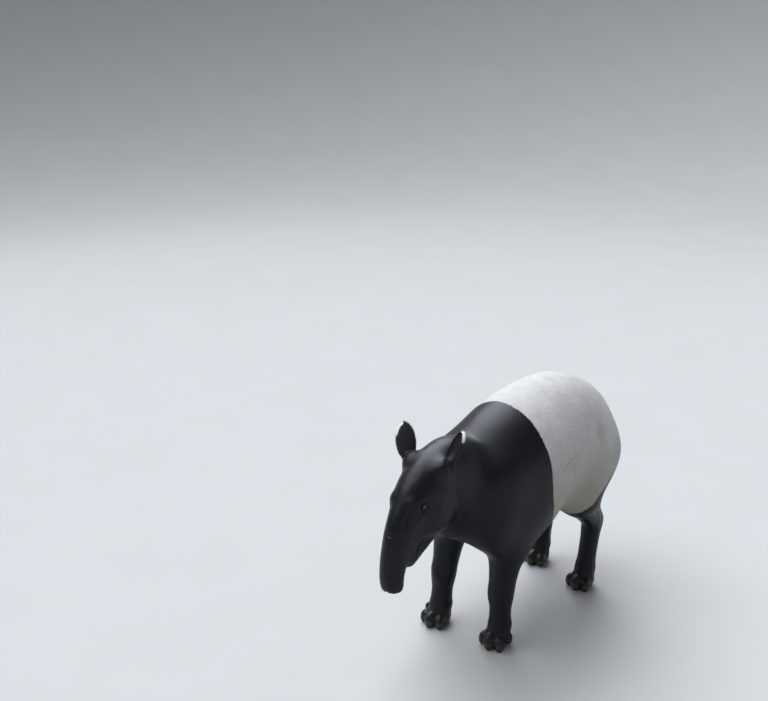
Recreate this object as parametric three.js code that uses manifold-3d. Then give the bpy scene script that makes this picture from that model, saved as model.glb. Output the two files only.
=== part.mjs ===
// A Malayan tapir, life-size and still, as a museum shows one: it stands on four legs, head lowered.
// Millimetres, +Z up. It faces -Y and its left side is +X. The origin is on the floor under its middle.
//
// The flesh is one smooth body, the zero level of a field built from named masses. Each node is wrapped
// in triangles from that field at its own fineness, and parted from its neighbours by a thin cut.
import * as THREE from "three";
import { mergeVertices } from "three/addons/utils/BufferGeometryUtils.js";
import Module from "manifold-3d";

const wasm = await Module();
wasm.setup();

// Driving dimensions
const GAP = 0.3;
const HALF_GAP = GAP / 2;
const NECK_LENGTH = 230;
const ELBOW_HEIGHT = 462;
const WRIST_HEIGHT = 240;
const STIFLE_HEIGHT = 512;
const HOCK_HEIGHT = 330;
const FETLOCK_HEIGHT = 92;
const EYE_RADIUS = 16;
const LID_THICKNESS = 3.5;
const EAR_LENGTH = 155;
const EAR_HALF_WIDTH = 42;
const EAR_HALF_DEPTH = 21;

// Pose, in degrees: how the neck falls and turns, and how the head falls, turns and leans from it.
const NECK_FALL = -14;
const NECK_TURN = 10;
const HEAD_FALL = 48;
const HEAD_TURN = -1.5;
const HEAD_LEAN = -3;

const rad = THREE.MathUtils.degToRad;
const LEFT = 1;
const RIGHT = -1;

// How fine the triangles are on each part, across, along and up.
const cell = (across, along, up) => new THREE.Vector3(across, along, up);
const FORE_CELL = cell(43, 55, 43);
const REAR_CELL = cell(50, 66, 50);
const NECK_CELL = cell(36, 36, 36);
const FORE_LEG_CELL = cell(24, 24, 46);
const HIND_LEG_CELL = cell(30, 30, 46);
const HEAD_CELL = cell(22, 22, 22);
const SNOUT_CELL = cell(15, 15, 15);
const FOOT_CELL = 17;
const FOOT_TOP = 80;

// A point of the body, said as forward, to its left, and up.
const at = (forward, left, up) => new THREE.Vector3(left, -forward, up);

// Field building blocks. Each returns a function of a point, negative inside and close to a distance in mm.

// Smooth union: two masses melt into each other over about `melt` mm.
const join = (a, b, melt) => {
  const h = Math.max(melt - Math.abs(a - b), 0) / melt;
  return Math.min(a, b) - h * h * melt * 0.25;
};

// An ellipsoid with its own turn, radii along its forward, left and up axes.
function mass(centre, forward, left, up, turn = new THREE.Matrix4()) {
  const axes = new THREE.Matrix4().copy(turn).invert();
  const q = new THREE.Vector3();
  const small = Math.min(forward, left, up);
  const reach = Math.max(forward, left, up);
  return {
    centre,
    reach,
    distance(p) {
      q.copy(p).sub(centre).applyMatrix4(axes);
      const k0 = Math.hypot(q.y / forward, q.x / left, q.z / up);
      const k1 = Math.hypot(q.y / forward ** 2, q.x / left ** 2, q.z / up ** 2);
      return k0 < 1e-6 ? -small : (k0 * (k0 - 1)) / k1;
    },
  };
}

// A tapered limb bone with its flesh: a round cone from one joint to the next, flattened sideways by `flat`.
function limb(from, to, fromRadius, toRadius, flat = 1) {
  const axis = new THREE.Vector3().subVectors(to, from);
  const length = axis.length();
  axis.normalize();
  const centre = new THREE.Vector3().addVectors(from, to).multiplyScalar(0.5);
  const q = new THREE.Vector3();
  return {
    centre,
    reach: length / 2 + Math.max(fromRadius, toRadius),
    distance(p) {
      q.copy(p).sub(from);
      const along = THREE.MathUtils.clamp(q.dot(axis) / length, 0, 1);
      q.addScaledVector(axis, -along * length);
      const radius = fromRadius + (toRadius - fromRadius) * along;
      return (Math.hypot(q.x / flat, q.y, q.z) - radius) * Math.min(1, flat);
    },
  };
}

// A body swept along a line of stations {at, side, wide, high}: half-width along side, half-height across it.
function sweep(stations, steps) {
  const line = new THREE.CatmullRomCurve3(stations.map((s) => s.at), false, "centripetal");
  const sizes = new THREE.CatmullRomCurve3(
    stations.map((s) => new THREE.Vector3(s.wide, s.high, 0)), false, "centripetal");
  const rings = [];
  for (let i = 0; i <= steps; i++) {
    const t = (i / steps) * (stations.length - 1);
    const a = stations[Math.min(Math.floor(t), stations.length - 2)];
    const b = stations[Math.min(Math.floor(t) + 1, stations.length - 1)];
    const side = a.side.clone().lerp(b.side, t - Math.floor(t)).normalize();
    const size = sizes.getPoint(i / steps);
    rings.push({ at: line.getPoint(i / steps), side, wide: size.x, high: size.y });
  }
  const d = new THREE.Vector3();
  const up = new THREE.Vector3();
  const q = new THREE.Vector3();
  const spans = rings.slice(1).map((b, i) => {
    const a = rings[i];
    const axis = b.at.clone().sub(a.at);
    const length = axis.length();
    return { a, b, axis: axis.normalize(), length };
  });
  return {
    distance(p) {
      let best = Infinity;
      for (const { a, b, axis, length } of spans) {
        q.copy(p).sub(a.at);
        const t = THREE.MathUtils.clamp(q.dot(axis) / length, 0, 1);
        q.addScaledVector(axis, -t * length);
        d.copy(a.side);
        up.crossVectors(d, axis);
        const wide = a.wide + (b.wide - a.wide) * t;
        const high = a.high + (b.high - a.high) * t;
        const small = Math.min(wide, high);
        const r = Math.hypot(q.dot(d) / wide, q.dot(up) / high, q.dot(axis) / small);
        best = Math.min(best, (r - 1) * small);
      }
      return best;
    },
  };
}

// Trunk, neck and head: one sweep from rump to snout tip

const body = new THREE.Object3D();
const neck = new THREE.Object3D();
neck.position.copy(at(440, 0, 786));
neck.rotation.set(rad(NECK_FALL), 0, rad(NECK_TURN), "ZXY");
body.add(neck);
const head = new THREE.Object3D();
head.position.copy(at(NECK_LENGTH, 0, 0));
head.rotation.set(rad(HEAD_FALL), rad(HEAD_LEAN), rad(HEAD_TURN), "ZXY");
neck.add(head);
body.updateMatrixWorld(true);

const sideOf = (frame) => new THREE.Vector3().setFromMatrixColumn(frame.matrixWorld, 0);
const station = (frame, forward, up, wide, high) =>
  ({ at: frame.localToWorld(at(forward, 0, up)), side: sideOf(frame), wide, high });
const inNeck = (forward, left, up) => neck.localToWorld(at(forward, left, up));
const inHead = (forward, left, up) => head.localToWorld(at(forward, left, up));
const alongHead = (forward, left, up) => inHead(forward, left, up).sub(inHead(0, 0, 0)).normalize();

const SNOUT_TIP = { forward: 400, up: -112 };
const trunk = sweep([
  station(body, -459, 701, 152, 171),
  station(body, -339, 748, 214, 262),
  station(body, -172, 762, 249, 316),
  station(body, 14, 743, 263, 310),
  station(body, 180, 728, 243, 274),
  station(body, 320, 714, 207, 236),
  station(body, 431, 730, 169, 218),
  station(neck, 90, 3, 133, 184),
  station(neck, 185, -2, 114, 160),
  station(head, 60, -2, 103, 144),
  station(head, 135, 0, 83, 128),
  station(head, 225, -2, 64, 98),
  station(head, 300, -28, 55, 70),
  station(head, 355, -60, 51, 53),
  station(head, 387, -92, 50, 46),
  station(head, SNOUT_TIP.forward, SNOUT_TIP.up, 49, 42),
], 72);

// Muscles and limbs, each with how far it melts into the body

const masses = [];
const add = (melt, shape) => masses.push({ melt, ...shape });

function foreLeg(side, step) {
  const shoulder = at(392, side * 138, 580);
  const elbow = at(287, side * 152, ELBOW_HEIGHT);
  const wrist = at(310 + step * 0.7, side * 146, WRIST_HEIGHT);
  const fetlock = at(308 + step, side * 146, FETLOCK_HEIGHT);
  const foot = at(322 + step, side * 147, 40);
  add(90, mass(at(330, side * 140, 670), 118, 74, 185));
  add(60, limb(shoulder, elbow, 96, 80));
  add(70, mass(at(245, side * 168, 520), 95, 62, 95));
  add(40, limb(elbow, wrist, 78, 54));
  add(20, limb(wrist, fetlock, 52, 46));
  add(22, mass(wrist, 54, 50, 62));
  add(25, limb(fetlock, foot, 47, 50));
  return foot;
}

function hindLeg(side, step) {
  const hip = at(-348, side * 130, 690);
  const stifle = at(-237, side * 155, STIFLE_HEIGHT);
  const hock = at(-392 + step, side * 144, HOCK_HEIGHT);
  const fetlock = at(-356 + step, side * 144, FETLOCK_HEIGHT);
  const foot = at(-340 + step, side * 145, 40);
  add(80, mass(at(-350, side * 140, 655), 162, 90, 195));
  add(60, limb(hip, stifle, 135, 96));
  add(45, limb(stifle, hock, 88, 52));
  add(14, mass(at(-408 + step, side * 144, HOCK_HEIGHT + 22), 32, 30, 44));
  add(20, limb(hock, fetlock, 49, 44));
  add(25, limb(fetlock, foot, 45, 48));
  return foot;
}

// Barrel of the ribs behind each elbow
for (const side of [LEFT, RIGHT]) add(80, mass(at(150, side * 150, 580), 150, 103, 128));

// Toes: {forward, left, up, size, spread} from the middle of the foot; the hoof of each is its own node.
const MIDDLE_TOES = [
  { forward: 44, left: 0, size: 1.1, spread: 0, up: 0 },
  { forward: 30, left: 36, size: 0.95, spread: 24, up: 0 },
  { forward: 30, left: -36, size: 0.95, spread: -24, up: 0 },
];
const OUTER_TOE = { forward: -8, left: 52, size: 0.7, spread: 55, up: 26 };

function footOf(name, side, middle, hasOuterToe) {
  const outer = { ...OUTER_TOE, left: side * OUTER_TOE.left, spread: side * OUTER_TOE.spread };
  const toes = hasOuterToe ? [...MIDDLE_TOES, outer] : MIDDLE_TOES;
  add(18, mass(middle.clone().setZ(30), 60, 52, 42));
  return toes.map((toe, i) => {
    const root = at(toe.forward, toe.left, 0).add(middle).setZ(27 * toe.size + toe.up);
    const turn = new THREE.Matrix4().makeRotationZ(rad(toe.spread));
    add(12, mass(root.clone(), 35 * toe.size, 21.5 * toe.size, 31 * toe.size, turn));
    return { name: `hoof_${name}_${i + 1}`, root, turn, size: toe.size };
  });
}

const hooves = [
  ...footOf("front_left", LEFT, foreLeg(LEFT, 0), true),
  ...footOf("front_right", RIGHT, foreLeg(RIGHT, 50), true),
  ...footOf("hind_left", LEFT, hindLeg(LEFT, 0), false),
  ...footOf("hind_right", RIGHT, hindLeg(RIGHT, -45), false),
];

// Head: cheek, brow, ear root, jaw and lips
for (const side of [LEFT, RIGHT]) {
  add(34, mass(inHead(90, side * 58, -72), 92, 43, 68));
  add(26, mass(inHead(126, side * 48, 78), 46, 18, 14));
  add(30, mass(inHead(-32, side * 74, 78), 42, 36, 42));
  add(20, mass(inHead(285, side * 27, -86), 44, 18, 22));
}
add(30, limb(inHead(62, 0, -124), inHead(268, 0, -126), 66, 33));
add(16, mass(inHead(292, 0, -124), 30, 27, 20));

function field(p) {
  let f = trunk.distance(p);
  for (const m of masses) {
    if (p.distanceTo(m.centre) > m.reach + m.melt + 200) continue;
    f = join(f, m.distance(p), m.melt);
  }
  return f;
}

// Wrapping the field in triangles

// One vertex in each grid cell that the surface crosses, moved onto the surface, and a quad across each
// crossed grid edge. The wall of the box closes the skin. Cells are low below `sole`, where the toes are.
function wrap(low, high, cell, sole = 0) {
  const lines = [0, 1, 2].map((axis) => {
    const marks = [low.getComponent(axis)];
    while (marks.at(-1) < high.getComponent(axis)) {
      const small = axis === 2 && marks.at(-1) < sole;
      marks.push(marks.at(-1) + (small ? FOOT_CELL : cell.getComponent(axis)));
    }
    return marks;
  });
  const n = lines.map((marks) => marks.length);
  const index = (i, j, k) => i + n[0] * (j + n[1] * k);
  const place = (i, j, k) => new THREE.Vector3(lines[0][i], lines[1][j], lines[2][k]);
  const value = new Float32Array(n[0] * n[1] * n[2]);
  for (let k = 0; k < n[2]; k++)
    for (let j = 0; j < n[1]; j++)
      for (let i = 0; i < n[0]; i++) {
        const wall = [i, j, k].some((v, axis) => v === 0 || v === n[axis] - 1);
        value[index(i, j, k)] = wall ? cell.x : field(place(i, j, k));
      }
  fillSaddles(value, n);
  const corners = [0, 1, 2, 3, 4, 5, 6, 7].map((c) => [c & 1, (c >> 1) & 1, c >> 2]);
  const edges = [];
  corners.forEach((a, ia) => corners.forEach((b, ib) => {
    if (ib > ia && a.reduce((s, v, k) => s + Math.abs(v - b[k]), 0) === 1) edges.push([a, b]);
  }));
  const vertexOf = new Map();
  const positions = [];
  for (let k = 0; k < n[2] - 1; k++)
    for (let j = 0; j < n[1] - 1; j++)
      for (let i = 0; i < n[0] - 1; i++) {
        const sum = new THREE.Vector3();
        const corner = place(i, j, k);
        const size = place(i + 1, j + 1, k + 1).sub(corner);
        let crossed = 0;
        for (const [a, b] of edges) {
          const va = value[index(i + a[0], j + a[1], k + a[2])];
          const vb = value[index(i + b[0], j + b[1], k + b[2])];
          if (va < 0 === vb < 0) continue;
          const t = va / (va - vb);
          sum.add(new THREE.Vector3(...a.map((v, axis) => v + (b[axis] - v) * t)));
          crossed++;
        }
        if (!crossed) continue;
        const atWall = [i, j, k].some((v, axis) => v === 0 || v === n[axis] - 2);
        sum.divideScalar(crossed).multiply(size).add(corner);
        if (!atWall) settle(sum, Math.min(size.x, size.y, size.z));
        vertexOf.set(index(i, j, k), positions.length / 3);
        positions.push(sum.x, sum.y, sum.z);
      }
  const faces = [];
  const step = [1, n[0], n[0] * n[1]];
  for (let k = 0; k < n[2] - 1; k++)
    for (let j = 0; j < n[1] - 1; j++)
      for (let i = 0; i < n[0] - 1; i++)
        for (let axis = 0; axis < 3; axis++) {
          const here = index(i, j, k);
          if ([i, j, k].some((c, other) => other !== axis && c === 0)) continue;
          const inside = value[here] < 0;
          if (inside === value[here + step[axis]] < 0) continue;
          const u = step[(axis + 1) % 3];
          const v = step[(axis + 2) % 3];
          const quad = [here, here - u, here - u - v, here - v].map((c) => vertexOf.get(c));
          if (!inside) quad.reverse();
          faces.push(quad);
        }
  const point = (v) => new THREE.Vector3().fromArray(positions, v * 3);
  const triangles = faces.flatMap(([a, b, c, d]) =>
    point(a).distanceTo(point(c)) < point(b).distanceTo(point(d)) ? [a, b, c, a, c, d] : [a, b, d, b, c, d]);
  return new THREE.BufferGeometry()
    .setAttribute("position", new THREE.Float32BufferAttribute(positions, 3))
    .setIndex(triangles);
}

// Where the corners of a cell face are inside and outside crosswise, one more corner is taken as inside, so
// that two sheets of skin never share an edge.
function fillSaddles(value, n) {
  const step = [1, n[0], n[0] * n[1]];
  const cells = [];
  for (let k = 1; k < n[2] - 1; k++)
    for (let j = 1; j < n[1] - 1; j++)
      for (let i = 1; i < n[0] - 1; i++) cells.push(i * step[0] + j * step[1] + k * step[2]);
  for (let found = true; found;) {
    found = false;
    for (const c of cells)
      for (let axis = 0; axis < 3; axis++) {
        const u = step[(axis + 1) % 3];
        const v = step[(axis + 2) % 3];
        const ring = [c, c - u, c - u - v, c - v];
        const inside = ring.map((i) => value[i] < 0);
        if (inside[0] !== inside[2] || inside[1] !== inside[3] || inside[0] === inside[1]) continue;
        value[ring[inside[0] ? 1 : 0]] = -1e-3;
        found = true;
      }
  }
}

// Moves a point onto the surface, by at most half a cell.
function settle(point, cell) {
  const start = point.clone();
  const e = cell * 0.05;
  for (let round = 0; round < 3; round++) {
    const f = field(point);
    const slope = new THREE.Vector3(
      field(point.clone().setX(point.x + e)) - f,
      field(point.clone().setY(point.y + e)) - f,
      field(point.clone().setZ(point.z + e)) - f).divideScalar(e);
    point.addScaledVector(slope, -f / Math.max(slope.lengthSq(), 0.1));
  }
  point.sub(start).clampLength(0, cell * 0.5).add(start);
}

// A closed solid from a closed surface of triangles, and its surface again.

function solid(geometry, matrix = new THREE.Matrix4()) {
  const bare = new THREE.BufferGeometry().setAttribute("position", geometry.attributes.position.clone());
  if (geometry.index) bare.setIndex(geometry.index.clone());
  bare.applyMatrix4(matrix);
  const merged = mergeVertices(bare, 1e-3);
  return new wasm.Manifold(new wasm.Mesh({
    numProp: 3,
    vertProperties: new Float32Array(merged.attributes.position.array),
    triVerts: new Uint32Array(merged.index.array),
  }));
}

function meshOf(made) {
  const m = made.getMesh();
  const positions = new Float32Array(m.numVert * 3);
  for (let i = 0; i < m.numVert; i++)
    positions.set(m.vertProperties.subarray(i * m.numProp, i * m.numProp + 3), i * 3);
  return new THREE.BufferGeometry()
    .setAttribute("position", new THREE.BufferAttribute(positions, 3))
    .setIndex(new THREE.BufferAttribute(new Uint32Array(m.triVerts), 1));
}

// Everything on the far side of a plane, held off it by half the gap.
function beyond(point, direction) {
  const size = 3000;
  const d = direction.clone().normalize();
  const turn = new THREE.Quaternion().setFromUnitVectors(new THREE.Vector3(0, 0, 1), d);
  const centre = point.clone().addScaledVector(d, size / 2 + HALF_GAP);
  return solid(new THREE.BoxGeometry(size, size, size),
    new THREE.Matrix4().compose(centre, turn, new THREE.Vector3(1, 1, 1)));
}

// An outline of [forward, up] points with each edge moved outwards by `grow`. The points run clockwise.
function widened(points, grow) {
  const corners = points.map(([forward, up]) => new THREE.Vector2(forward, up));
  return corners.map((corner, i) => {
    const before = corner.clone().sub(corners.at(i - 1)).normalize();
    const after = corners[(i + 1) % corners.length].clone().sub(corner).normalize();
    const out = new THREE.Vector2(-before.y - after.y, before.x + after.x).normalize();
    return corner.addScaledVector(out, grow / (before.x * out.y - before.y * out.x)).toArray();
  });
}

// A side view outline of [forward, up] points, as thick as from one place to another towards its left.
function prism(points, right, left, grow = 0) {
  const shape = new THREE.Shape(widened(points, grow).map(([forward, up]) => new THREE.Vector2(forward, up)));
  const geometry = new THREE.ExtrudeGeometry(shape, { depth: left - right + 2 * grow, bevelEnabled: false });
  const basis = new THREE.Matrix4().makeBasis(at(1, 0, 0), at(0, 0, 1), at(0, -1, 0));
  return solid(geometry, basis.setPosition(left + grow, 0, 0));
}

// An ellipsoid with radii along the forward, left and up axes of its frame, each grown by `grow`.
function ellipsoid(frame, forward, left, up, across, down, grow = 0) {
  const scale = new THREE.Matrix4().makeScale(left + grow, forward + grow, up + grow);
  const upright = new THREE.Matrix4().makeRotationX(Math.PI / 2);
  return solid(new THREE.SphereGeometry(1, across, down),
    new THREE.Matrix4().multiplyMatrices(frame, scale).multiply(upright));
}

// A round tube through points of its own radii, with flat ends; `grow` makes it thicker and longer.
function tube(points, radii, around, grow = 0) {
  const line = new THREE.CatmullRomCurve3(points);
  const rings = points.length * 2 - 1;
  const positions = [];
  const faces = [];
  for (let i = 0; i < rings; i++) {
    const t = i / (rings - 1);
    const axis = line.getTangent(t);
    const centre = line.getPoint(t);
    if (i === 0) centre.addScaledVector(axis, -grow);
    if (i === rings - 1) centre.addScaledVector(axis, grow);
    const side = new THREE.Vector3(1, 0, 0).cross(axis).normalize();
    const other = new THREE.Vector3().crossVectors(axis, side);
    const k = Math.min(Math.floor(i / 2), radii.length - 2);
    const radius = grow + radii[k] + (radii[k + 1] - radii[k]) * (i / 2 - k);
    for (let j = 0; j < around; j++) {
      const angle = (2 * Math.PI * j) / around;
      const p = centre.clone().addScaledVector(side, Math.cos(angle) * radius);
      positions.push(...p.addScaledVector(other, Math.sin(angle) * radius).toArray());
      if (i === 0) continue;
      const a = i * around + j;
      const b = i * around + ((j + 1) % around);
      faces.push(a - around, b - around, b, a - around, b, a);
    }
  }
  for (const [end, first] of [[line.getPoint(0), 0], [line.getPoint(1), (rings - 1) * around]]) {
    const axis = line.getTangent(first ? 1 : 0);
    positions.push(...end.addScaledVector(axis, first ? grow : -grow).toArray());
    const middle = positions.length / 3 - 1;
    for (let j = 0; j < around; j++) {
      const a = first + j;
      const b = first + ((j + 1) % around);
      faces.push(...(first ? [a, b, middle] : [b, a, middle]));
    }
  }
  return solid(new THREE.BufferGeometry()
    .setAttribute("position", new THREE.Float32BufferAttribute(positions, 3)).setIndex(faces));
}

// The largest closed surface, so that no loose scrap is left after a cut.
const largest = (made) => made.decompose().sort((a, b) => b.volume() - a.volume())[0];

const BLACK_COAT = { color: 0x1b1c20, roughness: 0.6, metalness: 0 };
const PALE_COAT = { color: 0xb4afa8, roughness: 0.7, metalness: 0 };
const HORN = { color: 0x2f2c29, roughness: 0.45, metalness: 0 };
const EYE = { color: 0x120c09, roughness: 0.08, metalness: 0 };
const group = new THREE.Group();
function part(name, made, look) {
  const mesh = new THREE.Mesh(meshOf(largest(made)), new THREE.MeshStandardMaterial(look));
  mesh.name = name;
  group.add(mesh);
}

// Where the nodes part: planes across the body, and outlines of the legs in side view

const saddleEdge = [at(122, 0, 700), at(1, 0, -0.056)];
const neckRoot = [inNeck(-5, 0, 0), inNeck(1, 0, 0).sub(inNeck(0, 0, 0))];
const poll = [inHead(-62, 0, 0), alongHead(0.915, 0, 0.403)];
const snoutRoot = [inHead(306, 0, -40), alongHead(0.95, 0, 0.2)];
const ahead = ([point, direction]) => beyond(point, direction);
const behind = ([point, direction]) => beyond(point, direction.clone().negate());

const FORE_OUTLINE = [
  [160, 380], [172, 425], [205, 462], [260, 477], [330, 480], [400, 472], [480, 440], [480, -20], [160, -20],
];
const HIND_OUTLINE = [
  [-760, 700], [-600, 690], [-500, 668], [-400, 630], [-310, 580],
  [-230, 520], [-170, 470], [-120, 420], [-120, -20], [-760, -20],
];
const REACH = 420;
const aboveFloor = beyond(at(0, 0, -HALF_GAP), at(0, 0, 1));
const INNER_FORE = 50;

// Hooves: the front of an ellipsoid, let into the end of the toe
function hoof({ root, turn, size }, grow = 0) {
  const frame = turn.clone().setPosition(root);
  const tip = at(10 * size, 0, -3 * size).applyMatrix4(frame);
  const forward = at(0.92, 0, -0.38).applyMatrix4(turn);
  const whole = ellipsoid(turn.clone().setPosition(tip), 29 * size, 20 * size, 30 * size, 9, 6, grow);
  const cut = tip.clone().addScaledVector(forward, -HALF_GAP - grow);
  return whole.intersect(beyond(cut, forward));
}

// Trunk
const wrapped = (low, high, fineness, sole) =>
  solid(wrap(new THREE.Vector3(...low), new THREE.Vector3(...high), fineness, sole));
const fore = wrapped([-REACH, -620, 200], [REACH, 0, 1150], FORE_CELL);
part("forequarters",
  fore.intersect(ahead(saddleEdge)).intersect(behind(neckRoot))
    .subtract(prism(FORE_OUTLINE, INNER_FORE, REACH, GAP))
    .subtract(prism(FORE_OUTLINE, -REACH, -INNER_FORE, GAP)),
  BLACK_COAT);
const TAIL_LINE = [at(-570, 0, 735), at(-608, 0, 715), at(-630, 0, 668), at(-638, 0, 612)];
const TAIL_RADII = [30, 27, 20, 11];
const rear = wrapped([-REACH, -260, 200], [REACH, 700, 1180], REAR_CELL);
part("saddle",
  rear.intersect(behind(saddleEdge)).subtract(prism(HIND_OUTLINE, -REACH, REACH, GAP))
    .subtract(tube(TAIL_LINE, TAIL_RADII, 14, GAP)),
  PALE_COAT);
part("tail", tube(TAIL_LINE, TAIL_RADII, 14), BLACK_COAT);
const nape = wrapped([-REACH, -760, 350], [REACH, -330, 1150], NECK_CELL);
part("neck", nape.intersect(ahead(neckRoot)).intersect(behind(poll)), BLACK_COAT);

// Legs
for (const [end, side, name, outline] of [
  ["front", LEFT, "left", FORE_OUTLINE], ["front", RIGHT, "right", FORE_OUTLINE],
  ["hind", LEFT, "left", HIND_OUTLINE], ["hind", RIGHT, "right", HIND_OUTLINE],
]) {
  const front = end === "front";
  const from = front ? -520 : 60;
  const to = front ? -60 : 700;
  const low = [side === LEFT ? -30 : -REACH, from, -40];
  const high = [side === LEFT ? REACH : 30, to, front ? 540 : 780];
  const inner = front ? INNER_FORE : HALF_GAP;
  const lateral = side === LEFT ? [inner, REACH] : [-REACH, -inner];
  let leg = wrapped(low, high, front ? FORE_LEG_CELL : HIND_LEG_CELL, FOOT_TOP)
    .intersect(prism(outline, ...lateral)).intersect(aboveFloor);
  if (!front) leg = leg.subtract(tube(TAIL_LINE, TAIL_RADII, 14, GAP));
  for (const toe of hooves.filter((h) => h.name.startsWith(`hoof_${end}_${name}`)))
    leg = leg.subtract(hoof(toe, GAP));
  part(`leg_${end}_${name}`, leg, BLACK_COAT);
}
for (const toe of hooves) part(toe.name, hoof(toe).intersect(aboveFloor), HORN);

// Ears: a cup on a round root that is let into the head
function earFrame(side) {
  const up = side === LEFT ? alongHead(-0.78, 0.36, 0.6) : alongHead(-0.75, -0.3, 0.6);
  const open = side === LEFT ? at(0.85, -0.53, -0.1) : at(-0.5, -0.85, 0);
  const root = side === LEFT ? inHead(-40, 91, 88) : inHead(-34, -94, 71);
  const across = new THREE.Vector3().crossVectors(up, open).normalize();
  const front = new THREE.Vector3().crossVectors(across, up).normalize();
  return new THREE.Matrix4().makeBasis(across, front.negate(), up).setPosition(root);
}
const inFrame = (frame, forward, left, up) => {
  const m = new THREE.Matrix4().makeTranslation(left, -forward, up);
  return new THREE.Matrix4().multiplyMatrices(frame, m);
};
function earRoot(frame, grow) {
  const points = [-12, 4, 30].map((up) => at(0, 0, up).applyMatrix4(frame));
  return tube(points, [24, 25, 24], 16, grow);
}
function earOutside(frame, grow) {
  const middle = inFrame(frame, 0, 0, EAR_LENGTH * 0.5);
  const shell = ellipsoid(middle, EAR_HALF_DEPTH, EAR_HALF_WIDTH, EAR_LENGTH * 0.52, 15, 10, grow);
  const upward = new THREE.Vector3().setFromMatrixColumn(frame, 2);
  const blade = shell.intersect(beyond(at(0, 0, 8 - grow).applyMatrix4(frame), upward));
  return blade.add(earRoot(frame, grow));
}
function ear(side) {
  const frame = earFrame(side);
  const hollow = inFrame(frame, 13, 0, EAR_LENGTH * 0.56);
  const cup = ellipsoid(hollow, EAR_HALF_DEPTH + 5, EAR_HALF_WIDTH - 5, EAR_LENGTH * 0.42, 15, 10);
  return earOutside(frame, 0).subtract(cup);
}

// Head
const box = new THREE.Box3().setFromPoints([
  inHead(-150, -150, -220), inHead(-150, 150, 200), inHead(480, -120, -200), inHead(480, 120, 60),
]);
let skull = solid(wrap(box.min, box.max, HEAD_CELL)).intersect(ahead(poll));
// The slit of the mouth in side view, [forward, up] on the head
const MOUTH = [
  [350, -102], [300, -103], [250, -98], [196, -80], [196, -78.5], [250, -95], [300, -99.5], [350, -98],
];
const headTurn = new THREE.Matrix4().copy(head.matrixWorld);
const mouthOutline = new THREE.Shape(MOUTH.map(([forward, up]) => new THREE.Vector2(forward, up)));
const mouthShape = new THREE.ExtrudeGeometry(mouthOutline, { depth: 300, bevelEnabled: false });
const mouth = solid(mouthShape, headTurn.clone().multiply(
  new THREE.Matrix4().makeBasis(at(1, 0, 0), at(0, 0, 1), at(0, -1, 0)).setPosition(150, 0, 0)));
for (const side of [LEFT, RIGHT]) {
  const eyeAt = inHead(130, side * 61, 58);
  const out = alongHead(0.35, side, 0.12);
  const level = alongHead(1, 0, -0.16);
  const lidUp = new THREE.Vector3().crossVectors(out, level).multiplyScalar(-side).normalize();
  const along = new THREE.Vector3().crossVectors(lidUp, out).normalize();
  const frame = new THREE.Matrix4().makeBasis(along, out.clone().negate(), lidUp).setPosition(eyeAt);
  const sphere = (radius, across, down) => ellipsoid(frame, radius, radius, radius, across, down);
  const lids = sphere(EYE_RADIUS + LID_THICKNESS, 20, 13);
  const slit = ellipsoid(inFrame(frame, EYE_RADIUS + LID_THICKNESS, 0, 0), 14, 15, 9.5, 16, 10);
  skull = skull.add(lids).subtract(slit).subtract(sphere(EYE_RADIUS + GAP, 14, 10));
  skull = skull.subtract(earOutside(earFrame(side), GAP));
  part(side === LEFT ? "eye_left" : "eye_right", sphere(EYE_RADIUS, 14, 10), EYE);
  part(side === LEFT ? "ear_left" : "ear_right", ear(side), BLACK_COAT);
}
part("head", skull.intersect(behind(snoutRoot)).subtract(mouth), BLACK_COAT);

const snoutBox = new THREE.Box3().setFromPoints([
  inHead(270, -70, 40), inHead(470, 70, -200), inHead(300, 0, -190), inHead(470, 0, 40),
]).expandByScalar(20);
// The snout ends in a flat disc that holds the nostrils.
const DISC = { forward: 0.62, up: -0.78, reach: 23 };
const disc = [
  inHead(SNOUT_TIP.forward + DISC.forward * DISC.reach, 0, SNOUT_TIP.up + DISC.up * DISC.reach),
  alongHead(DISC.forward, 0, DISC.up),
];
let snout = solid(wrap(snoutBox.min, snoutBox.max, SNOUT_CELL));
snout = snout.intersect(ahead(snoutRoot)).intersect(behind(disc));
const NOSTRIL_TURN = rad(-38.5);
for (const side of [LEFT, RIGHT]) {
  const frame = headTurn.clone().multiply(new THREE.Matrix4().makeRotationX(NOSTRIL_TURN))
    .setPosition(disc[0].clone().addScaledVector(alongHead(0.78, 0, 0.62), 8)
      .addScaledVector(sideOf(head), side * 18));
  snout = snout.subtract(ellipsoid(frame, 15, 7, 12, 12, 8));
}
part("snout", snout, BLACK_COAT);

// The origin goes under the middle of the whole.
const bounds = new THREE.Box3().setFromObject(group);
const middle = bounds.getCenter(new THREE.Vector3());
for (const mesh of group.children) mesh.geometry.translate(-middle.x, -middle.y, -bounds.min.z);

export default group;
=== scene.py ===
import math

import bmesh
import bpy
import numpy as np
from mathutils import Matrix, Vector


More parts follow.
